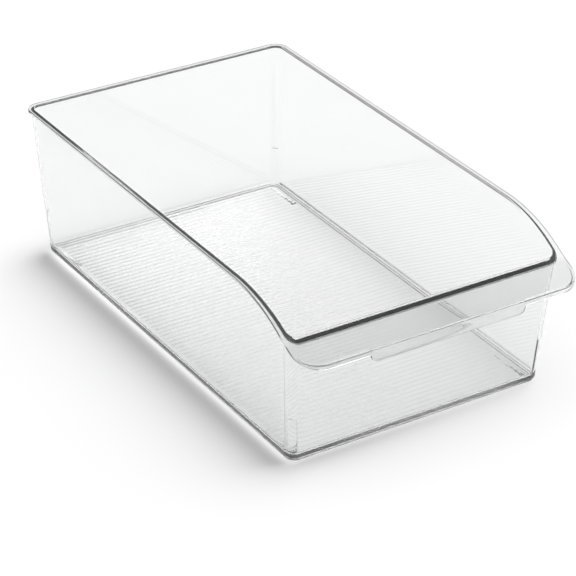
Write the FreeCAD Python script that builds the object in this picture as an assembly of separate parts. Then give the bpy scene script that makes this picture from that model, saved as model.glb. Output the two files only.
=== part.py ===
"""Clear refrigerator bin: one tapered tub with a rim, a dropped front and a pull lip.

Units are millimetres.  +Z is up, -Y is the front (the side with the pull lip) and the
origin is at the centre of the overall footprint, on the surface the bin stands on.
The tub is drawn about its own base centre and moved to that origin when it is saved.
"""
import FreeCAD, Part
import math
import os

# ---- driving dimensions: tub ---------------------------------------------------------
bin_height = 100.0
base_width = 173.6
base_length = 294.8
side_draft = 0.061
end_draft = 0.071
wall_thickness = 2.0
corner_radius = 7.0
floor_thickness = 2.2
foot_height = 1.2

# ---- driving dimensions: rim and shoulder ----------------------------------------------
rim_overhang = 1.9
rim_thickness = 1.8
shoulder_angle = 30.0
ramp_length = 4.33

# ---- driving dimensions: pull lip --------------------------------------------------------
lip_overhang = 21.8
lip_drop = 22.4
lip_corner_radius = 16.0
cove_radius = 53.0
lip_edge_angle = 4.0
edge_thickness = 1.8
edge_height = 3.6
edge_past_corner = 2.0
tab_width = 104.0
tab_height = 8.4
tab_corner_radius = 4.0

# ---- driving dimensions: corner posts, feet and floor ribs ---------------------------------
post_width = 4.8
post_depth = 0.8
post_top = 28.5
foot_inset = 1.0
foot_width = 2.5
bar_width = 3.5
bar_length = 28.0
bar_gap = 1.8
bar_end_gap = 6.4
rib_pitch = 4.2
rib_width = 1.6
rib_height = 0.15
rib_side_margin = 5.5
rib_end_margin = 4.5

# ---- how far the cutting shapes reach past what they cut -------------------------------------
reach = 40.0
far = 2 * base_length

# ---- sizes that follow ----------------------------------------------------------------------------
floor_bottom = foot_height
floor_top = floor_bottom + floor_thickness
shoulder = math.radians(shoulder_angle)
lip_slope = math.radians(lip_edge_angle)
split_x = base_width / 2 - corner_radius
split_y = base_length / 2 - corner_radius


def half_width(z):
    """Half the tub's outside width at height z."""
    return base_width / 2 + side_draft * z


def half_length(z):
    """Half the tub's outside length at height z."""
    return base_length / 2 + end_draft * z


rim_half_width = half_width(bin_height) + rim_overhang
back_reach = half_length(bin_height) + rim_overhang
lip_edge_z = bin_height - lip_drop
lip_reach = half_length(lip_edge_z) + lip_overhang
body_centre_y = (lip_reach - back_reach) / 2
cove_rise = cove_radius * (math.cos(lip_slope) - math.cos(shoulder))
ramp_rise = ramp_length * math.sin(shoulder)
shoulder_radius = (lip_drop - cove_rise - ramp_rise) / (1 - math.cos(shoulder))


def vec(x, y, z):
    """A point or a direction."""
    return FreeCAD.Vector(x, y, z)


def block(x0, x1, y0, y1, z0, z1):
    """A box between two corners."""
    return Part.makeBox(x1 - x0, y1 - y0, z1 - z0, vec(x0, y0, z0))


def outline(x0, x1, y0, y1, front_radius, back_radius, z):
    """A closed rectangle at height z with rounded corners."""
    corners = (
        (x1, y0, -1, 1, -90.0, front_radius),
        (x1, y1, -1, -1, 0.0, back_radius),
        (x0, y1, 1, -1, 90.0, back_radius),
        (x0, y0, 1, 1, 180.0, front_radius),
    )
    arcs = []
    for x, y, inward_x, inward_y, start, radius in corners:
        centre = vec(x + inward_x * radius, y + inward_y * radius, z)
        circle = Part.Circle(centre, vec(0, 0, 1), radius)
        arcs.append(Part.Arc(circle, math.radians(start), math.radians(start + 90)).toShape())
    edges = []
    for arc, following in zip(arcs, arcs[1:] + arcs[:1]):
        edges.append(arc)
        edges.append(Part.makeLine(arc.Vertexes[-1].Point, following.Vertexes[0].Point))
    return Part.Wire(edges)


def tub(inset, z0, z1):
    """The tapered block inside the tub's outside face, moved in by inset, from z0 to z1."""
    wires = []
    for z in (z0, z1):
        half_x = half_width(z) - inset
        half_y = half_length(z) - inset
        radius = corner_radius - inset
        wires.append(outline(-half_x, half_x, -half_y, half_y, radius, radius, z))
    return Part.makeLoft(wires, True, True)


def column(inset):
    """The upright block inside the rim's and the lip's outside edge, moved in by inset."""
    wire = outline(
        inset - rim_half_width, rim_half_width - inset,
        inset - lip_reach, back_reach - inset,
        lip_corner_radius - inset, corner_radius + rim_overhang - inset, 0.0,
    )
    return Part.Face(wire).extrude(vec(0, 0, bin_height + reach))


def shoulder_points():
    """The joints of the rim line in side view, as (y, z), from the lip's edge to the rim."""
    cove_run = cove_radius * (math.sin(shoulder) - math.sin(lip_slope))
    arc_run = shoulder_radius * math.sin(shoulder)
    edge = (-lip_reach, lip_edge_z)
    cove_top = (edge[0] + cove_run, edge[1] + cove_rise)
    arc_start = (cove_top[0] + ramp_length * math.cos(shoulder), cove_top[1] + ramp_rise)
    arc_end = (arc_start[0] + arc_run, bin_height)
    return edge, cove_top, arc_start, arc_end


def below_rim_line(drop):
    """Everything under the rim line, lowered by drop: level, shoulder, ramp, cove, lip edge."""
    edge, cove_top, arc_start, arc_end = shoulder_points()
    cove_mid_angle = (shoulder + lip_slope) / 2
    cove_mid = (
        edge[0] + cove_radius * (math.sin(cove_mid_angle) - math.sin(lip_slope)),
        edge[1] + cove_radius * (math.cos(lip_slope) - math.cos(cove_mid_angle)),
    )
    arc_mid = (
        arc_end[0] - shoulder_radius * math.sin(shoulder / 2),
        arc_end[1] - shoulder_radius * (1 - math.cos(shoulder / 2)),
    )

    def point(pair):
        return vec(-far, pair[0], pair[1] - drop)

    front = (-far, lip_edge_z)
    back = (far, bin_height)
    edges = [
        Part.makeLine(point(front), point(edge)),
        Part.Arc(point(edge), point(cove_mid), point(cove_top)).toShape(),
        Part.makeLine(point(cove_top), point(arc_start)),
        Part.Arc(point(arc_start), point(arc_mid), point(arc_end)).toShape(),
        Part.makeLine(point(arc_end), point(back)),
        Part.makeLine(point(back), point((far, -far))),
        Part.makeLine(point((far, -far)), point((-far, -far))),
        Part.makeLine(point((-far, -far)), point(front)),
    ]
    return Part.Face(Part.Wire(edges)).extrude(vec(2 * far, 0, 0))


def save(name, shape):
    """Write one named piece, moved from the tub's base centre to the part's origin."""
    placed = shape.copy()
    placed.translate(vec(0, body_centre_y, 0))
    placed.exportStep("parts/" + name + ".step")


def zone(side_x, side_y):
    """The part of space over one side, corner or the middle of the plan: -1, 0 or 1 each way."""
    spans_x = {-1: (-far, -split_x), 0: (-split_x, split_x), 1: (split_x, far)}
    spans_y = {-1: (-far, -split_y), 0: (-split_y, split_y), 1: (split_y, far)}
    x0, x1 = spans_x[side_x]
    y0, y1 = spans_y[side_y]
    return block(x0, x1, y0, y1, -far, far)


SIDES = {"left": (-1, 0), "right": (1, 0), "front": (0, -1), "back": (0, 1)}
CORNERS = {
    "front_left": (-1, -1),
    "front_right": (1, -1),
    "back_left": (-1, 1),
    "back_right": (1, 1),
}


def build_floor():
    """The floor plate between the walls."""
    save("floor_panel", tub(wall_thickness, floor_bottom, floor_top))


def build_walls():
    """Four drafted walls and the four rounded corners between them, cut to the rim line."""
    top = bin_height + reach
    shell = tub(0.0, floor_bottom, top).cut(tub(wall_thickness, floor_bottom, top))
    shell = shell.common(below_rim_line(0.0))
    for name, side in SIDES.items():
        save(name + "_wall", shell.common(zone(*side)))
    for name, side in CORNERS.items():
        save(name + "_corner", shell.common(zone(*side)))


def build_rim_and_lip():
    """The flange outside the walls: level rim, falling shoulders and the coved pull lip."""
    top = bin_height + reach
    flange = column(0.0).cut(tub(0.0, floor_bottom, top))
    flange = flange.common(below_rim_line(0.0)).cut(below_rim_line(rim_thickness))
    shoulder_start = shoulder_points()[3][0]
    lip_start = -half_length(lip_edge_z)
    save("rim_back", flange.common(block(-far, far, split_y, far, 0, top)))
    for name, x0, x1 in (("left", -far, 0.0), ("right", 0.0, far)):
        save("rim_" + name, flange.common(block(x0, x1, shoulder_start, split_y, 0, top)))
        falling = flange.common(block(x0, x1, lip_start, shoulder_start, 0, top))
        save("shoulder_" + name, falling)
    save("pull_lip", flange.common(block(-far, far, -far, lip_start, 0, top)))


def build_lip_edge():
    """The turned-down edge under the lip and the deeper finger tab in its middle."""
    edge_bottom = lip_edge_z - edge_height
    turned_down = column(0.0).cut(column(edge_thickness)).common(below_rim_line(rim_thickness))
    corner_x = rim_half_width - lip_corner_radius - edge_past_corner
    corner_y = -lip_reach + lip_corner_radius + edge_past_corner
    strips = {
        "lip_edge_left": (-far, -corner_x),
        "lip_edge_front": (-corner_x, corner_x),
        "lip_edge_right": (corner_x, far),
    }
    for name, (x0, x1) in strips.items():
        save(name, turned_down.common(block(x0, x1, -far, corner_y, edge_bottom, far)))
    tab = block(
        -tab_width / 2, tab_width / 2,
        -lip_reach, edge_thickness - lip_reach,
        lip_edge_z - tab_height, edge_bottom,
    )
    lower_corners = []
    for edge in tab.Edges:
        box = edge.BoundBox
        front_to_back = box.YLength > edge_thickness / 2
        at_bottom = box.ZMax < edge_bottom
        if front_to_back and at_bottom:
            lower_corners.append(edge)
    save("finger_tab", tab.makeFillet(tab_corner_radius, lower_corners))


def build_corner_posts():
    """A flat upright bar across each inside corner, leaning with the walls' draft."""
    for name, (side_x, side_y) in CORNERS.items():
        wires = []
        for z in (floor_top, post_top):
            centre_x = side_x * (half_width(z) - corner_radius)
            centre_y = side_y * (half_length(z) - corner_radius)
            inner = corner_radius - wall_thickness - post_depth
            outer = corner_radius
            diagonal = vec(side_x, side_y, 0).normalize()
            across = vec(-side_y, side_x, 0).normalize() * (post_width / 2)
            centre = vec(centre_x, centre_y, z)
            near = centre + diagonal * inner
            away = centre + diagonal * outer
            wires.append(Part.makePolygon([
                near - across, near + across, away + across, away - across, near - across,
            ]))
        bar = Part.makeLoft(wires, True, True)
        save("corner_post_" + name, bar.common(tub(wall_thickness, floor_top, post_top)))


def build_feet():
    """A low foot rail under the floor's edge, in straights and corners, and four foot bars."""
    rail = tub(foot_inset, 0.0, foot_height).cut(tub(foot_inset + foot_width, 0.0, foot_height))
    for name, side in SIDES.items():
        save("foot_rail_" + name, rail.common(zone(*side)))
    for name, side in CORNERS.items():
        save("foot_corner_" + name, rail.common(zone(*side)))
    outer_x = base_width / 2 - foot_inset - foot_width - bar_gap
    outer_y = base_length / 2 - bar_end_gap
    for name, (side_x, side_y) in CORNERS.items():
        xs = sorted((side_x * outer_x, side_x * (outer_x - bar_width)))
        ys = sorted((side_y * outer_y, side_y * (outer_y - bar_length)))
        save("foot_bar_" + name, block(xs[0], xs[1], ys[0], ys[1], 0.0, foot_height))


def build_floor_ribs():
    """Fine low ribs across the floor, evenly spaced from front to back."""
    rib_half = half_width(floor_top) - wall_thickness - rib_side_margin
    field_half = half_length(floor_top) - wall_thickness - rib_end_margin
    count = int((2 * field_half - rib_width) / rib_pitch) + 1
    ribs = []
    for index in range(count):
        y = (index - (count - 1) / 2) * rib_pitch
        wire = Part.makePolygon([
            vec(-rib_half, y - rib_width / 2, floor_top),
            vec(-rib_half, y - rib_width / 4, floor_top + rib_height),
            vec(-rib_half, y + rib_width / 4, floor_top + rib_height),
            vec(-rib_half, y + rib_width / 2, floor_top),
            vec(-rib_half, y - rib_width / 2, floor_top),
        ])
        ribs.append(Part.Face(wire).extrude(vec(2 * rib_half, 0, 0)))
    save("floor_ribs", Part.makeCompound(ribs))


os.makedirs("parts", exist_ok=True)
build_floor()
build_walls()
build_rim_and_lip()
build_lip_edge()
build_corner_posts()
build_feet()
build_floor_ribs()
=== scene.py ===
import bmesh
import bpy
import math
from mathutils import Matrix, Vector


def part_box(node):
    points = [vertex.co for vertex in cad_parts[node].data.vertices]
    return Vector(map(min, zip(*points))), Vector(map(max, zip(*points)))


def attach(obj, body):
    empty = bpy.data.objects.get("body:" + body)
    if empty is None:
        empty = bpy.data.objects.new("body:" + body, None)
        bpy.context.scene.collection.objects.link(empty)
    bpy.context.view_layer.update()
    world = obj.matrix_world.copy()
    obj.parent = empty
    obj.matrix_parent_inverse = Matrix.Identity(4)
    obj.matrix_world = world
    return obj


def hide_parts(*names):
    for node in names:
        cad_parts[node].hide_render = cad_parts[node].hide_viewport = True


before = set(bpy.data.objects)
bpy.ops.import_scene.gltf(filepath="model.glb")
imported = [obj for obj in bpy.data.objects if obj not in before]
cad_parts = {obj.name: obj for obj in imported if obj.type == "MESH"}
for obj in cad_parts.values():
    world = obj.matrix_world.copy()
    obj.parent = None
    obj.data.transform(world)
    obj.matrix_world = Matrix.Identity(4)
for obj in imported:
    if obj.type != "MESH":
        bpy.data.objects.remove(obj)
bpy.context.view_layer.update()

MM = 1000.0
floor_low, floor_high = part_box("floor_panel")
rim_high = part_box("rim_back")[1]
lip_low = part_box("pull_lip")[0]
tub_centre_y = (floor_low.y + floor_high.y) / 2

# ---- sizes shared with the CAD part -----------------------------------------------------------
bin_height = rim_high.z * MM
base_half_width = 86.8
base_half_length = 147.4
side_draft = 0.061
end_draft = 0.071
wall_thickness = 2.0
corner_radius = 7.0
floor_bottom = floor_low.z * MM
floor_top = floor_high.z * MM
rim_half_width = rim_high.x * MM
rim_back = (rim_high.y - tub_centre_y) * MM
lip_front = (tub_centre_y - lip_low.y) * MM
rim_thickness = 1.8
back_corner_radius = 8.9
lip_corner_radius = 16.0
lip_edge_z = 77.6
cove_radius = 53.0
lip_slope = math.radians(4.0)
shoulder_slope = math.radians(30.0)
cove_top = (-151.907, 84.5715)
shoulder_start = (-148.157, 86.7365)
shoulder_end_y = -98.657
shoulder_radius = 99.0
edge_thickness = 1.8
edge_height = 3.6
tab_half_width = 52.0
tab_height = 8.4
tab_corner_radius = 4.0
post_half_width = 2.4
post_depth = 0.8
post_top = 28.5
foot_inset = 1.0
foot_width = 2.5
rib_pitch = 4.2
rib_width = 1.6
rib_height = 0.15
rib_count = 67
rib_half_length = 79.5
flow_line_y = 6.3
flow_line_x = 2.0
flow_line_half_width = 0.5
flow_line_height = 0.18
flow_line_gap = 40.0

# ---- roundings of the moulding ----------------------------------------------------------------
floor_fillet = 2.6
top_rounding = 0.7
edge_rounding = 0.5
under_rounding = 0.4
lip_fillet = 1.6
base_rounding = 1.0
foot_rounding = 0.35
bar_rounding = 0.4
bar_clearance = 0.03
support = 0.35


def half_width(z):
    """Half the tub's outside width at height z."""
    return base_half_width + side_draft * z


def half_length(z):
    """Half the tub's outside length at height z."""
    return base_half_length + end_draft * z


def rim_line(y):
    """Height of the rim at a place from front to back: level, shoulder, ramp, cove."""
    if y >= shoulder_end_y:
        return bin_height
    if y >= shoulder_start[0]:
        run = shoulder_end_y - y
        return bin_height - shoulder_radius + math.sqrt(shoulder_radius ** 2 - run ** 2)
    if y >= cove_top[0]:
        return cove_top[1] + (y - cove_top[0]) * math.tan(shoulder_slope)
    centre_y = -lip_front - cove_radius * math.sin(lip_slope)
    centre_z = lip_edge_z + cove_radius * math.cos(lip_slope)
    return centre_z - math.sqrt(cove_radius ** 2 - (y - centre_y) ** 2)


def smooth_step(t):
    """Eased step from 0 to 1."""
    t = min(1.0, max(0.0, t))
    return t * t * (3 - 2 * t)


def mix(a, b, t):
    """A value part of the way from a to b."""
    return a + (b - a) * t


# ---- stations round the plan ------------------------------------------------------------------
# A station is (kind, side in x, side in y, place).  The place is x along an end and y along a
# side.  In a corner it is 0 to 1 up to the turn, 1 to 2 through it and 2 to 3 past it.
row_end = (rib_count - 1) / 2 * rib_pitch + rib_width / 2
end_half = 78.0
rib_steps = (-rib_width / 2, -rib_width / 4, rib_width / 4, rib_width / 2)
rows = []
for index in range(rib_count):
    middle = (index - (rib_count - 1) / 2) * rib_pitch
    rows += [middle + step for step in rib_steps]
rows += [flow_line_y + step * flow_line_half_width for step in (-1, 0, 1)]
rows.sort()

# distances along the lip from a tab corner, closest where the edge steps down
tab_steps = (-4.0, -1.0, -0.02, 0.02, 0.15, 0.4, 0.8, 1.3, 2.0, 3.0, 4.0, 8.0)
end_places = [-end_half, -74.0, -66.0]
end_places += [-tab_half_width + step for step in tab_steps]
end_places += [-30.0, -15.0, 0.0, 15.0, 30.0]
end_places += [tab_half_width - step for step in reversed(tab_steps)]
end_places += [66.0, 74.0, end_half]

post_reach = corner_radius - wall_thickness - post_depth
post_edge = math.degrees(math.atan(post_half_width / post_reach))
post_flank = 0.5
arc_angles = [4.5 * step for step in range(21)]
arc_angles += [45 - post_edge - post_flank, 45 - post_edge]
arc_angles += [45 + post_edge, 45 + post_edge + post_flank]
corner_places = [0.25, 0.5, 0.75]
corner_places += [1 + angle / 90 for angle in sorted(arc_angles)]
corner_places += [2.33, 2.67]


def ring_stations():
    """The stations in order round the plan, anticlockwise from the front left."""
    ring = [("end", 0, -1, x) for x in end_places]
    ring += [("corner", 1, -1, u) for u in reversed(corner_places)]
    ring += [("side", 1, 0, y) for y in rows]
    ring += [("corner", 1, 1, u) for u in corner_places]
    ring += [("end", 0, 1, x) for x in reversed(end_places)]
    ring += [("corner", -1, 1, u) for u in reversed(corner_places)]
    ring += [("side", -1, 0, y) for y in reversed(rows)]
    ring += [("corner", -1, -1, u) for u in corner_places]
    return ring


def tub_point(station, z, inset):
    """Where the tub's outline at height z, moved in by inset, passes a station."""
    kind, side_x, side_y, place = station
    if kind == "side":
        return side_x * (half_width(z) - inset), place
    if kind == "end":
        return place, side_y * (half_length(z) - inset)
    centre_x = half_width(z) - corner_radius
    centre_y = half_length(z) - corner_radius
    if place < 1:
        return side_x * (half_width(z) - inset), side_y * mix(row_end, centre_y, place)
    if place > 2:
        return side_x * mix(centre_x, end_half, place - 2), side_y * (half_length(z) - inset)
    turn = math.radians(90 * (place - 1))
    radius = corner_radius - inset
    return (
        side_x * (centre_x + radius * math.cos(turn)),
        side_y * (centre_y + radius * math.sin(turn)),
    )


# distances along the lip's outline from the last rib row
lip_straight = lip_front - lip_corner_radius - row_end
lip_arc = lip_corner_radius * math.pi / 2
lip_lead = 10.6
edge_fade_lead = 3.0


def lip_corner_turn(place):
    """Distance along the lip's outline at a corner's place, and the share of its turn made."""
    if place < 1:
        travelled = lip_lead * place
    else:
        travelled = mix(lip_lead, lip_straight + lip_arc, min(place - 1, 1.0))
    return travelled, min(1.0, max(0.0, (travelled - lip_straight) / lip_arc))


def edge_point(station, inset):
    """Where the outline of the rim's and the lip's edge, moved in by inset, passes a station."""
    kind, side_x, side_y, place = station
    if kind == "side":
        return side_x * (rim_half_width - inset), place
    if kind == "end":
        return place, (inset - lip_front if side_y < 0 else rim_back - inset)
    if side_y > 0:
        centre_x = rim_half_width - back_corner_radius
        centre_y = rim_back - back_corner_radius
        if place < 1:
            return side_x * (rim_half_width - inset), mix(row_end, centre_y, place)
        if place > 2:
            return side_x * mix(centre_x, end_half, place - 2), rim_back - inset
        turn = math.radians(90 * (place - 1))
        radius = back_corner_radius - inset
        return (
            side_x * (centre_x + radius * math.cos(turn)),
            centre_y + radius * math.sin(turn),
        )
    centre_x = rim_half_width - lip_corner_radius
    centre_y = lip_front - lip_corner_radius
    travelled, turned = lip_corner_turn(place)
    if place > 2:
        return side_x * mix(centre_x, end_half, place - 2), inset - lip_front
    if turned <= 0:
        return side_x * (rim_half_width - inset), -row_end - travelled
    turn = turned * math.pi / 2
    radius = lip_corner_radius - inset
    return side_x * (centre_x + radius * math.cos(turn)), -centre_y - radius * math.sin(turn)


def edge_drop(station):
    """How far the outer edge hangs below the rim line at a station."""
    kind, side_x, side_y, place = station
    if kind == "side" or side_y > 0:
        return rim_thickness
    if kind == "corner":
        travelled, turned = lip_corner_turn(place)
        past_lead = travelled - lip_straight + edge_fade_lead
        fade = smooth_step(past_lead / (lip_arc + edge_fade_lead))
        return mix(rim_thickness, edge_height, fade)
    past = tab_half_width - abs(place)
    if past <= 0:
        return edge_height
    curve = tab_corner_radius - min(past, tab_corner_radius)
    return tab_height - tab_corner_radius + math.sqrt(tab_corner_radius ** 2 - curve ** 2)


# degrees past the post, and millimetres past the wall's face, that still count as on it
post_slack = 0.1
slack = 0.01


def wall_point(station, z, inset):
    """A point of the inside wall, which steps in over the corner post below its top."""
    x, y = tub_point(station, z, inset)
    kind, side_x, side_y, place = station
    if kind != "corner" or not 1 <= place <= 2 or z > post_top:
        return x, y, z
    off_diagonal = math.radians(abs(90 * (place - 1) - 45))
    if math.degrees(off_diagonal) > post_edge + post_slack or inset > wall_thickness + slack:
        return x, y, z
    near = post_reach / math.cos(off_diagonal)
    blend = min(1.0, near / (corner_radius - inset))
    centre_x = side_x * (half_width(z) - corner_radius)
    centre_y = side_y * (half_length(z) - corner_radius)
    return mix(centre_x, x, blend), mix(centre_y, y, blend), z


rim_passes = 6


def rim_top(station, inset):
    """The tub's outline, moved in by inset, at the height where it meets the rim line."""
    z = bin_height
    for _ in range(rim_passes):
        x, y = tub_point(station, z, inset)
        z = rim_line(y)
    return x, y, z


# steps of the section: shares of an arc or a face, then shares of the gap under the lip, then
# small distances that keep neighbouring loops of the skin apart
arc_steps = (0.0, 0.25, 0.5, 0.75, 1.0)
flange_steps = (0.05, 0.12, 0.2, 0.3, 0.4, 0.5, 0.6, 0.7, 0.8, 0.9, 0.96)
under_steps = (0.9, 0.75, 0.6, 0.45, 0.3, 0.15, 0.06, 0.0)
edge_gap_share = 0.45
edge_soft = 0.25
edge_soft_share = 0.2
edge_spread = 0.04
fillet_gap_share = 0.08
post_step = 0.05
foot_hair = 0.02
foot_crease = 0.1


def quarter_turn(first=0):
    """Sine and cosine at each step round a quarter circle."""
    turns = [step * math.pi / 2 for step in arc_steps[first:]]
    return [(math.sin(turn), math.cos(turn)) for turn in turns]


def inside(station):
    """The floor's margin, its fillet, the inner wall, and the rounding over its top."""
    points = []
    fillet_inset = wall_thickness + floor_fillet
    for extra in (support, 0.0):
        points.append((*tub_point(station, floor_top, fillet_inset + extra), floor_top))
    for sine, cosine in quarter_turn(1):
        z = floor_top + floor_fillet * (1 - cosine)
        points.append(wall_point(station, z, fillet_inset - floor_fillet * sine))
    top_z = rim_top(station, wall_thickness)[2]
    for z in (
        floor_top + floor_fillet + support,
        post_top - support, post_top, post_top + post_step, post_top + post_step + support,
        mix(post_top, top_z, 0.5),
        top_z - top_rounding - support,
    ):
        points.append(wall_point(station, z, wall_thickness))
    for sine, cosine in quarter_turn():
        inset = wall_thickness - top_rounding * (1 - cosine)
        z = rim_top(station, inset)[2]
        drop = top_rounding * (1 - sine)
        points.append((*tub_point(station, z - drop, inset), z - drop))
    return points


def top_and_edge(station, low):
    """The top face of wall, flange and lip, and the outer edge down to its underside."""
    points = []
    inner = rim_top(station, wall_thickness - top_rounding)
    outer_x, outer_y = edge_point(station, edge_rounding)
    for step in flange_steps:
        x = mix(inner[0], outer_x, step)
        y = mix(inner[1], outer_y, step)
        points.append((x, y, rim_line(y)))
    for sine, cosine in quarter_turn():
        x, y = edge_point(station, edge_rounding * (1 - sine))
        points.append((x, y, rim_line(y) - edge_rounding * (1 - cosine)))
    x, y = edge_point(station, 0.0)
    points.append((x, y, mix(rim_line(y) - edge_rounding, low + under_rounding, 0.5)))
    for sine, cosine in quarter_turn():
        x, y = edge_point(station, under_rounding * (1 - cosine))
        points.append((x, y, low + under_rounding * (1 - sine)))
    return points


def under_lip(station, low):
    """The edge's inner face, the underside of flange and lip, the wall's fillet and outside."""
    points = []
    wall_x, wall_y = tub_point(station, lip_edge_z, 0.0)
    edge_x, edge_y = edge_point(station, 0.0)
    gap = math.hypot(wall_x - edge_x, wall_y - edge_y)
    thick = min(edge_thickness, edge_gap_share * gap)
    soft = min(edge_soft, edge_soft_share * thick)
    inner_edge = (
        (thick - soft, 0.0), (thick - 0.3 * soft, 0.1), (thick, 0.3),
        (thick, 0.5), (thick, 0.7), (thick + 0.3 * soft, 0.9), (thick + soft, 1.0),
    )
    for inset, rise in inner_edge:
        x, y = edge_point(station, inset + edge_spread * (rise - 0.5))
        points.append((x, y, mix(low, rim_line(y) - rim_thickness, rise)))
    start_x, start_y = edge_point(station, thick + soft)
    z = rim_top(station, 0.0)[2] - rim_thickness
    fillet = min(lip_fillet, fillet_gap_share * gap)
    near_x, near_y = tub_point(station, z, -fillet)
    for step in under_steps:
        x = mix(near_x, start_x, step)
        y = mix(near_y, start_y, step)
        points.append((x, y, rim_line(y) - rim_thickness))
    under_z = rim_line(near_y) - rim_thickness
    for sine, cosine in quarter_turn(1):
        z = under_z - fillet * (1 - cosine)
        points.append((*tub_point(station, z, -fillet * (1 - sine)), z))
    for z in (
        under_z - fillet - support,
        mix(floor_bottom, under_z, 0.5),
        floor_bottom + base_rounding + support,
    ):
        points.append((*tub_point(station, z, 0.0), z))
    return points


def base_and_foot(station):
    """The rounded base, the foot rail under it and the margin of the underside."""
    points = []
    for sine, cosine in quarter_turn():
        z = floor_bottom + base_rounding * (1 - sine)
        points.append((*tub_point(station, z, base_rounding * (1 - cosine)), z))
    outer = foot_inset + foot_hair
    z = foot_rounding + foot_crease
    points.append((*tub_point(station, z, outer), z))
    for sine, cosine in quarter_turn():
        z = foot_rounding * (1 - sine)
        points.append((*tub_point(station, z, outer + foot_rounding * (1 - cosine)), z))
    foot_end = foot_inset + foot_width
    for sine, cosine in quarter_turn():
        z = foot_rounding * (1 - cosine)
        points.append((*tub_point(station, z, foot_end - foot_rounding * (1 - sine)), z))
    z = floor_bottom - foot_crease
    points.append((*tub_point(station, z, foot_end), z))
    for extra in (0.0, support):
        inset = foot_end + foot_crease + extra
        points.append((*tub_point(station, floor_bottom, inset), floor_bottom))
    return points


def section(station):
    """One section of the moulding, from the floor over the rim to the underside."""
    rim_here = rim_line(edge_point(station, 0.0)[1])
    if station[0] == "end" and station[2] < 0:
        rim_here = lip_edge_z
    low = rim_here - edge_drop(station)
    return (
        inside(station) + top_and_edge(station, low)
        + under_lip(station, low) + base_and_foot(station)
    )


def to_frame(point):
    """A point about the tub's base, in millimetres, as metres in the shared frame."""
    return (point[0] / MM, point[1] / MM + tub_centre_y, point[2] / MM)


# lines of points across the floor: its ribs end over a short taper, and a close pair of lines
# beside the lengthwise flow line keeps its slope from spreading over the floor
rib_taper = 0.3
line_support = 0.2
floor_columns = (
    -rib_half_length, -rib_half_length + rib_taper, 0.0, rib_taper,
    flow_line_x - flow_line_half_width - line_support, flow_line_x - flow_line_half_width,
    flow_line_x,
    flow_line_x + flow_line_half_width, flow_line_x + flow_line_half_width + line_support,
    rib_half_length - rib_taper, rib_half_length,
)


def build_shell():
    """The closed skin of the whole moulding, its floor still level but marked for its ribs."""
    ring = ring_stations()
    vertices = []
    for station in ring:
        vertices += section(station)
    depth = len(vertices) // len(ring)
    faces = []
    for i in range(len(ring)):
        j = (i + 1) % len(ring)
        for k in range(depth - 1):
            faces.append((
                i * depth + k, i * depth + k + 1, j * depth + k + 1, j * depth + k,
            ))
    # floor: strips from side to side between matching rows, and one flat face at each end
    flow_zone = set()
    first_right = ring.index(("side", 1, 0, rows[0]))
    first_left = ring.index(("side", -1, 0, rows[0]))
    rib_zone = set()
    lines = []
    for index, y in enumerate(rows):
        line = [(first_left - index) * depth]
        for column, x in enumerate(floor_columns):
            if 0 < column < len(floor_columns) - 1:
                rib_zone.add(len(vertices))
                across = y == flow_line_y and x <= 0
                along = x == flow_line_x and y < -flow_line_gap
                if across or along:
                    flow_zone.add(len(vertices))
            line.append(len(vertices))
            vertices.append((x, y, floor_top))
        line.append((first_right + index) * depth)
        lines.append(line)
    for near, far in zip(lines, lines[1:]):
        for k in range(len(near) - 1):
            faces.append((near[k], near[k + 1], far[k + 1], far[k]))
    total = len(ring)
    front = [i % total for i in range(first_left, first_left + total)]
    front = front[: front.index(first_right) + 1]
    faces.append([i * depth for i in front] + lines[0][-2:0:-1])
    last_right = first_right + len(rows) - 1
    last_left = first_left - len(rows) + 1
    back = list(range(last_right, last_left + 1))
    faces.append([i * depth for i in back] + lines[-1][1:-1])
    # underside
    last = depth - 1
    for index in range(len(rows) - 1):
        left, right = first_left - index, first_right + index
        faces.append((
            left * depth + last, (left - 1) * depth + last,
            (right + 1) * depth + last, right * depth + last,
        ))
    faces.append([i * depth + last for i in reversed(front)])
    faces.append([i * depth + last for i in reversed(back)])
    mesh = bpy.data.meshes.new("bin_shell")
    mesh.from_pydata([to_frame(point) for point in vertices], [], faces)
    for name, marked in (("rib_zone", rib_zone), ("flow_zone", flow_zone)):
        zone = mesh.attributes.new(name, "FLOAT", "POINT")
        for index in marked:
            zone.data[index].value = 1.0
    mesh.shade_smooth()
    mesh.update()
    return mesh


# ---- node helpers -----------------------------------------------------------------------------
def add(tree, kind, **settings):
    """A new node in a tree, with its own settings."""
    node = tree.nodes.new(kind)
    for name, value in settings.items():
        setattr(node, name, value)
    return node


def math_node(tree, operation, first, second=None, clamp=False):
    """A Math node whose inputs are sockets or numbers; returns its output."""
    node = add(tree, "ShaderNodeMath", operation=operation, use_clamp=clamp)
    for socket, value in zip(node.inputs, (first, second)):
        if value is None:
            continue
        if isinstance(value, bpy.types.NodeSocket):
            tree.links.new(value, socket)
        else:
            socket.default_value = value
    return node.outputs[0]


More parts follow.
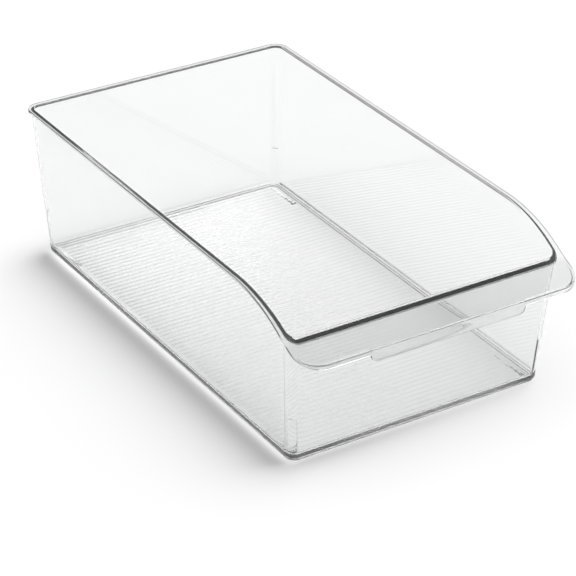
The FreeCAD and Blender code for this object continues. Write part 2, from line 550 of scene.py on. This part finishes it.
def floor_rib_tree(material):
    """Geometry Nodes tree that raises ribs and flow lines out of the floor's marked parts."""
    tree = bpy.data.node_groups.new("floor_rib_rows", "GeometryNodeTree")
    face = tree.interface
    face.new_socket("Geometry", in_out="OUTPUT", socket_type="NodeSocketGeometry")
    face.new_socket("Geometry", in_out="INPUT", socket_type="NodeSocketGeometry")
    for name in ("Rib Pitch", "Rib Width", "Rib Height", "Flow Line Height", "Row Centre"):
        face.new_socket(name, in_out="INPUT", socket_type="NodeSocketFloat")
    source = add(tree, "NodeGroupInput")
    sink = add(tree, "NodeGroupOutput")
    place = add(tree, "GeometryNodeInputPosition")
    parts = add(tree, "ShaderNodeSeparateXYZ")
    tree.links.new(place.outputs[0], parts.inputs[0])
    pitch, width = source.outputs["Rib Pitch"], source.outputs["Rib Width"]
    along = math_node(tree, "SUBTRACT", parts.outputs["Y"], source.outputs["Row Centre"])
    turns = math_node(tree, "DIVIDE", along, pitch)
    nearest = math_node(tree, "ROUND", turns)
    off = math_node(tree, "ABSOLUTE", math_node(tree, "SUBTRACT", turns, nearest))
    off = math_node(tree, "MULTIPLY", off, pitch)
    flank = math_node(tree, "SUBTRACT", math_node(tree, "DIVIDE", width, 2.0), off)
    rise = math_node(tree, "DIVIDE", flank, math_node(tree, "DIVIDE", width, 4.0), clamp=True)
    marked = add(tree, "GeometryNodeInputNamedAttribute", data_type="FLOAT")
    marked.inputs["Name"].default_value = "rib_zone"
    lift = math_node(tree, "MULTIPLY", rise, marked.outputs["Attribute"])
    lift = math_node(tree, "MULTIPLY", lift, source.outputs["Rib Height"])
    lined = add(tree, "GeometryNodeInputNamedAttribute", data_type="FLOAT")
    lined.inputs["Name"].default_value = "flow_zone"
    line_height = source.outputs["Flow Line Height"]
    line_lift = math_node(tree, "MULTIPLY", lined.outputs["Attribute"], line_height)
    lift = math_node(tree, "MAXIMUM", lift, line_lift)
    up = add(tree, "ShaderNodeCombineXYZ")
    tree.links.new(lift, up.inputs["Z"])
    move = add(tree, "GeometryNodeSetPosition")
    tree.links.new(source.outputs["Geometry"], move.inputs["Geometry"])
    tree.links.new(up.outputs[0], move.inputs["Offset"])
    real = add(tree, "GeometryNodeRealizeInstances")
    tree.links.new(move.outputs[0], real.inputs[0])
    finish = add(tree, "GeometryNodeSetMaterial")
    finish.inputs["Material"].default_value = material
    tree.links.new(real.outputs[0], finish.inputs["Geometry"])
    tree.links.new(finish.outputs[0], sink.inputs[0])
    return tree


def through_tree(name, mesh, tree, values):
    """An object holding the plain mesh that a Geometry Nodes tree makes from a mesh."""
    draft = bpy.data.objects.new(name + "_draft", mesh)
    bpy.context.scene.collection.objects.link(draft)
    modifier = draft.modifiers.new("nodes", "NODES")
    modifier.node_group = tree
    for item in tree.interface.items_tree:
        if item.item_type == "SOCKET" and item.in_out == "INPUT" and item.name in values:
            modifier[item.identifier] = values[item.name]
    depsgraph = bpy.context.evaluated_depsgraph_get()
    made = bpy.data.meshes.new_from_object(draft.evaluated_get(depsgraph))
    draft.modifiers.remove(modifier)
    bpy.data.objects.remove(draft)
    made.name = name
    piece = bpy.data.objects.new(name, made)
    bpy.context.scene.collection.objects.link(piece)
    return piece


# ---- finishes ---------------------------------------------------------------------------------
clear_tint = (0.985, 0.99, 0.99, 1.0)
# painted shade: the lip's base colour is darker than the clear plastic, standing in for the shade
# seen in and through the lip
lip_shade_colour = (0.9, 0.905, 0.905, 1.0)
lip_shade_start_y = -143.0
lip_shade_full_y = -147.0
clearness = 0.975
plastic_ior = 1.52
wave_detail = 1.0
grain_detail = 3.0
grain_low, grain_high = 0.3, 0.7
wave_scale = 22.0
grain_scale = 160.0
smoothest, roughest = 0.0, 0.03
wave_strength = 0.1
wave_depth = 0.2
sharp_angle = math.radians(50)

# Share of a lamp's light that each face passes on, not physical: level faces pass more than all
# of it, and upright faces pass less low down, most of all on the left.
shade_height = 45.0
shade_start = 6.0
shade_strength = 0.6
shade_on_right = 0.25
level_gain_front = 0.055
level_gain_back = 0.24
upright_passes = 0.99


def moulded_surface_group():
    """Shader group: faint waviness of a moulded face, and the uneven gloss that goes with it."""
    group = bpy.data.node_groups.new("moulded_surface", "ShaderNodeTree")
    face = group.interface
    face.new_socket("Vector", in_out="INPUT", socket_type="NodeSocketVector")
    for name in ("Wave Scale", "Grain Scale", "Smoothest", "Roughest"):
        face.new_socket(name, in_out="INPUT", socket_type="NodeSocketFloat")
    face.new_socket("Roughness", in_out="OUTPUT", socket_type="NodeSocketFloat")
    face.new_socket("Height", in_out="OUTPUT", socket_type="NodeSocketFloat")
    source = add(group, "NodeGroupInput")
    sink = add(group, "NodeGroupOutput")
    wave = add(group, "ShaderNodeTexNoise")
    wave.inputs["Detail"].default_value = wave_detail
    grain = add(group, "ShaderNodeTexNoise")
    grain.inputs["Detail"].default_value = grain_detail
    for texture, scale in ((wave, "Wave Scale"), (grain, "Grain Scale")):
        group.links.new(source.outputs["Vector"], texture.inputs["Vector"])
        group.links.new(source.outputs[scale], texture.inputs["Scale"])
    spread = add(group, "ShaderNodeMapRange")
    spread.inputs["From Min"].default_value = grain_low
    spread.inputs["From Max"].default_value = grain_high
    group.links.new(grain.outputs["Fac"], spread.inputs["Value"])
    group.links.new(source.outputs["Smoothest"], spread.inputs["To Min"])
    group.links.new(source.outputs["Roughest"], spread.inputs["To Max"])
    group.links.new(spread.outputs["Result"], sink.inputs["Roughness"])
    group.links.new(wave.outputs["Fac"], sink.inputs["Height"])
    return group


def ramp(tree, value, settings):
    """A smooth ramp of a value, with its ends set by socket name; returns its output."""
    node = add(tree, "ShaderNodeMapRange", interpolation_type="SMOOTHSTEP")
    for name, setting in settings.items():
        node.inputs[name].default_value = setting
    tree.links.new(value, node.inputs["Value"])
    return node.outputs["Result"]


def with_identifier(sockets, identifier):
    """The socket with an identifier, among sockets that share a name."""
    return next(socket for socket in sockets if socket.identifier == identifier)


def paint_lip_shade(tree, axes):
    """Painted shade on the lip: a darker base colour fading in just in front of the front wall."""
    lip_shade_zone = ramp(tree, axes.outputs["Y"], {
        "From Min": lip_shade_start_y / MM, "From Max": lip_shade_full_y / MM,
    })
    lip_shade_mix = add(tree, "ShaderNodeMix", data_type="RGBA")
    with_identifier(lip_shade_mix.inputs, "A_Color").default_value = clear_tint
    with_identifier(lip_shade_mix.inputs, "B_Color").default_value = lip_shade_colour
    tree.links.new(lip_shade_zone, with_identifier(lip_shade_mix.inputs, "Factor_Float"))
    shader = tree.nodes["Principled BSDF"]
    tree.links.new(with_identifier(lip_shade_mix.outputs, "Result_Color"), shader.inputs["Base Color"])


def lamp_share(tree, axes):
    """How much of a lamp's light a face passes on to what lies behind it."""
    shape = add(tree, "ShaderNodeNewGeometry")
    normal = add(tree, "ShaderNodeSeparateXYZ")
    tree.links.new(shape.outputs["True Normal"], normal.inputs[0])
    upright = math_node(tree, "SUBTRACT", 1.0, math_node(tree, "ABSOLUTE", normal.outputs["Z"]))
    low_down = ramp(tree, axes.outputs["Z"], {
        "From Max": shade_height / MM, "To Min": shade_strength, "To Max": 0.0,
    })
    leftward = ramp(tree, axes.outputs["X"], {
        "From Min": base_half_width / MM, "From Max": -base_half_width / MM,
        "To Min": shade_on_right,
    })
    above_foot = ramp(tree, axes.outputs["Z"], {
        "From Min": floor_top / MM, "From Max": shade_start / MM,
    })
    shade = math_node(tree, "MULTIPLY", upright, low_down)
    shade = math_node(tree, "MULTIPLY", shade, above_foot)
    shade = math_node(tree, "MULTIPLY", shade, leftward)
    level = add(tree, "ShaderNodeMapRange")
    level.inputs["From Min"].default_value = tub_centre_y - base_half_length / MM
    level.inputs["From Max"].default_value = tub_centre_y + base_half_length / MM
    level.inputs["To Min"].default_value = level_gain_front
    level.inputs["To Max"].default_value = level_gain_back
    tree.links.new(axes.outputs["Y"], level.inputs["Value"])
    flat = math_node(tree, "SUBTRACT", 1.0, upright)
    gain = math_node(tree, "MULTIPLY", flat, level.outputs["Result"])
    return math_node(tree, "SUBTRACT", math_node(tree, "ADD", gain, upright_passes), shade)


def clear_plastic(name, surface, has_lip_shade=False):
    """Water-clear moulded plastic, with painted shade in the lip's base colour when asked."""
    material = bpy.data.materials.new(name)
    material.use_nodes = True
    tree = material.node_tree
    shader = tree.nodes["Principled BSDF"]
    shader.inputs["Base Color"].default_value = clear_tint
    shader.inputs["Transmission Weight"].default_value = clearness
    shader.inputs["Metallic"].default_value = 0.0
    shader.inputs["IOR"].default_value = plastic_ior
    place = add(tree, "ShaderNodeTexCoord")
    axes = add(tree, "ShaderNodeSeparateXYZ")
    tree.links.new(place.outputs["Object"], axes.inputs[0])
    skin = add(tree, "ShaderNodeGroup", node_tree=surface)
    skin.inputs["Wave Scale"].default_value = wave_scale
    skin.inputs["Grain Scale"].default_value = grain_scale
    skin.inputs["Smoothest"].default_value = smoothest
    skin.inputs["Roughest"].default_value = roughest
    tree.links.new(place.outputs["Object"], skin.inputs["Vector"])
    tree.links.new(skin.outputs["Roughness"], shader.inputs["Roughness"])
    bump = add(tree, "ShaderNodeBump")
    bump.inputs["Strength"].default_value = wave_strength
    bump.inputs["Distance"].default_value = wave_depth / MM
    tree.links.new(skin.outputs["Height"], bump.inputs["Height"])
    tree.links.new(bump.outputs["Normal"], shader.inputs["Normal"])
    # painted shade: a darker base colour on the lip
    if has_lip_shade:
        paint_lip_shade(tree, axes)
    path = add(tree, "ShaderNodeLightPath")
    open_air = add(tree, "ShaderNodeBsdfTransparent")
    tree.links.new(lamp_share(tree, axes), open_air.inputs["Color"])
    either = add(tree, "ShaderNodeMixShader")
    tree.links.new(path.outputs["Is Shadow Ray"], either.inputs[0])
    tree.links.new(shader.outputs[0], either.inputs[1])
    tree.links.new(open_air.outputs[0], either.inputs[2])
    tree.links.new(either.outputs[0], tree.nodes["Material Output"].inputs["Surface"])
    return material


def studio_white():
    """Plain matt white table surface."""
    material = bpy.data.materials.new("studio_white")
    material.use_nodes = True
    shader = material.node_tree.nodes["Principled BSDF"]
    shader.inputs["Base Color"].default_value = (0.9, 0.9, 0.9, 1.0)
    shader.inputs["Roughness"].default_value = 0.9
    shader.inputs["Specular IOR Level"].default_value = 0.0
    return material


surface = moulded_surface_group()
# the shell's plastic carries the painted shade on its lip
shell_plastic = clear_plastic("clear_plastic_shell", surface, has_lip_shade=True)
foot_plastic = clear_plastic("clear_plastic_feet", surface)

shell = through_tree("bin_shell", build_shell(), floor_rib_tree(shell_plastic), {
    "Rib Pitch": rib_pitch / MM,
    "Rib Width": rib_width / MM,
    "Rib Height": rib_height / MM,
    "Flow Line Height": flow_line_height / MM,
    "Row Centre": tub_centre_y,
})
shell.data.set_sharp_from_angle(angle=sharp_angle)


def foot_bar(name):
    """A short rounded bar under the floor, a hair clear of it, where its CAD solid is."""
    low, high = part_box(name)
    mesh = bpy.data.meshes.new(name)
    bar = bmesh.new()
    bmesh.ops.create_cube(bar, size=1.0)
    for vertex in bar.verts:
        vertex.co.x = mix(low.x, high.x, vertex.co.x + 0.5)
        vertex.co.y = mix(low.y, high.y, vertex.co.y + 0.5)
        vertex.co.z = mix(low.z, high.z - bar_clearance / MM, vertex.co.z + 0.5)
    bmesh.ops.bevel(
        bar, geom=bar.edges[:], offset=bar_rounding / MM, segments=3, profile=0.5, affect="EDGES",
    )
    bar.to_mesh(mesh)
    bar.free()
    mesh.shade_smooth()
    mesh.set_sharp_from_angle(angle=sharp_angle)
    mesh.materials.append(foot_plastic)
    piece = bpy.data.objects.new(name + "_moulded", mesh)
    bpy.context.scene.collection.objects.link(piece)
    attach(piece, "root")
    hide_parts(name)


bar_names = sorted(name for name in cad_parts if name.startswith("foot_bar_"))
for name in bar_names:
    foot_bar(name)
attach(shell, "root")
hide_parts(*sorted(set(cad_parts) - set(bar_names)))

# ---- studio: table, light and camera ------------------------------------------------------------
table_half = 6.0
table_drop = 0.0001
room_brightness = 0.1
table_mesh = bpy.data.meshes.new("studio_table")
table_mesh.from_pydata(
    [(-table_half, -table_half, -table_drop), (table_half, -table_half, -table_drop),
     (table_half, table_half, -table_drop), (-table_half, table_half, -table_drop)],
    [], [(0, 1, 2, 3)],
)
table_mesh.materials.append(studio_white())
table = bpy.data.objects.new("studio_table", table_mesh)
bpy.context.scene.collection.objects.link(table)

scene = bpy.context.scene
world = bpy.data.worlds.new("studio")
world.use_nodes = True
world.node_tree.nodes["Background"].inputs["Color"].default_value = (1, 1, 1, 1)
world.node_tree.nodes["Background"].inputs["Strength"].default_value = room_brightness
scene.world = world


def soft_lamp(name, towards, energy, spread, lights_table, seen_in_gloss, seen_through):
    """A broad soft lamp in one direction from the bin, for the table, the gloss or both."""
    lamp = bpy.data.lights.new(name, "SUN")
    lamp.energy = energy
    lamp.angle = math.radians(spread)
    holder = bpy.data.objects.new(name, lamp)
    holder.rotation_euler = Vector(towards).to_track_quat("Z", "Y").to_euler()
    holder.visible_diffuse = lights_table
    holder.visible_glossy = seen_in_gloss
    holder.visible_transmission = seen_through
    scene.collection.objects.link(holder)


soft_lamp(
    "side_box", towards=(0.75, 0.1, 0.9), energy=3.3, spread=56,
    lights_table=True, seen_in_gloss=False, seen_through=False,
)
soft_lamp(
    "top_box", towards=(-0.2, 0.0, 1.0), energy=0.75, spread=50,
    lights_table=True, seen_in_gloss=True, seen_through=True,
)
soft_lamp(
    "front_gleam", towards=(0.46, -0.55, 0.72), energy=1.3, spread=40,
    lights_table=False, seen_in_gloss=True, seen_through=True,
)

# Camera: turned to the bin's left front and looking down on it, stepped aside from its aim.
azimuth = math.radians(-32.149)
elevation = math.radians(29.597)
roll = math.radians(0.324)
distance = 1.56047
aim_height = 0.05
aim = Vector((0.0, tub_centre_y, aim_height))
side_step = 0.001376
rise_step = -0.03011
back = Vector((
    math.sin(azimuth) * math.cos(elevation),
    -math.cos(azimuth) * math.cos(elevation),
    math.sin(elevation),
))
right = (-back).cross(Vector((0, 0, 1))).normalized()
up = right.cross(-back)
right, up = (
    right * math.cos(roll) + up * math.sin(roll),
    up * math.cos(roll) - right * math.sin(roll),
)
camera_data = bpy.data.cameras.new("camera")
camera_data.sensor_width = 36.0
camera_data.lens = 160.27
camera_data.shift_x = 0.0045
camera_data.shift_y = 0.0027
camera_data.clip_end = 20.0
camera = bpy.data.objects.new("camera", camera_data)
place = aim + back * distance + right * side_step + up * rise_step
turn = Matrix((right, up, back)).transposed().to_4x4()
camera.matrix_world = Matrix.Translation(place) @ turn
scene.collection.objects.link(camera)
scene.camera = camera

scene.view_settings.view_transform = "Standard"
scene.cycles.max_bounces = 20
scene.cycles.transmission_bounces = 20
scene.cycles.transparent_max_bounces = 32
scene.cycles.caustics_refractive = False
scene.cycles.caustics_reflective = False
scene.cycles.glossy_bounces = 12
scene.cycles.diffuse_bounces = 4
